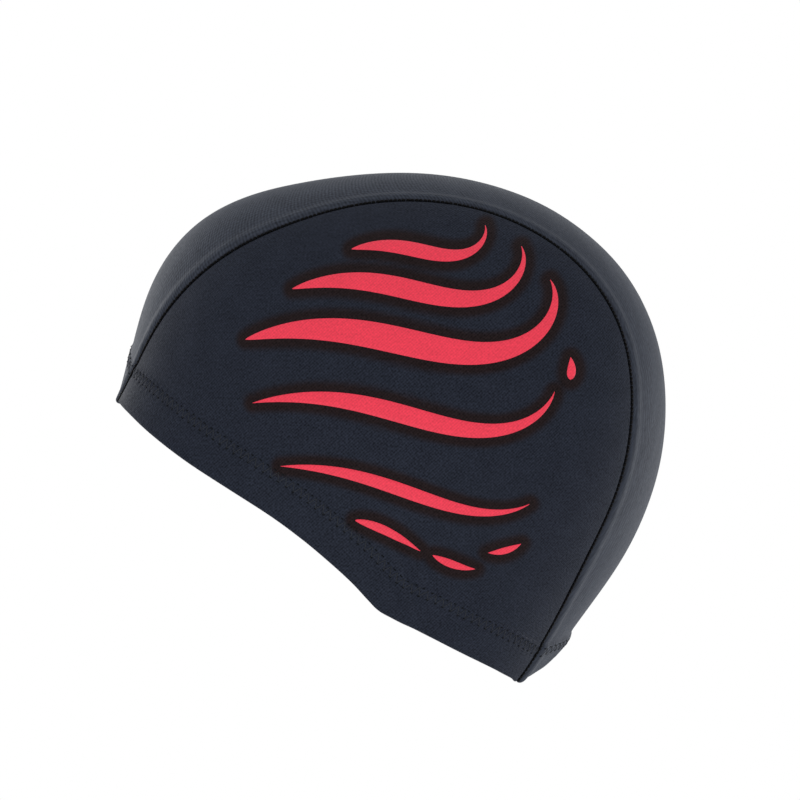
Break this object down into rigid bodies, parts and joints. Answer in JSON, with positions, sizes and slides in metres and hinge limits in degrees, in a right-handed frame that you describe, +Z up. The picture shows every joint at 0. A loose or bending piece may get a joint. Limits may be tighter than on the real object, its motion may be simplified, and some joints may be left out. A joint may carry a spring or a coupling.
{
  "type": "swim cap",
  "caption": "Stretch-knit swim cap in its worn form: a wide crown band between two side panels, a seam along each edge of the band, and a turned-in hem round the slanted rim.",
  "frame": {"origin": "on the inside of the crown, straight above the ear centre, where the cap sits on the head", "axes": "+Z up out of the crown, -Y towards the forehead, +X towards the wearer's left"},
  "size_m": [0.154, 0.2104, 0.1894],
  "materials": {
    "panel_knit": "fine warp knit, satin",
    "band_knit": "fine warp knit, satin",
    "hem_knit": "fine warp knit, inner face, matt",
    "seam_knit": "overlocked knit edge, matt",
    "stitch_thread": "twisted polyester thread",
    "print_ink": "soft screen-printed ink, satin"
  },
  "bodies": {
    "root": {"left_panel": "panel_knit", "right_panel": "panel_knit", "crown_band": "band_knit", "rim_hem": "hem_knit", "left_seam": "seam_knit", "right_seam": "seam_knit"}
  },
  "joints": []
}
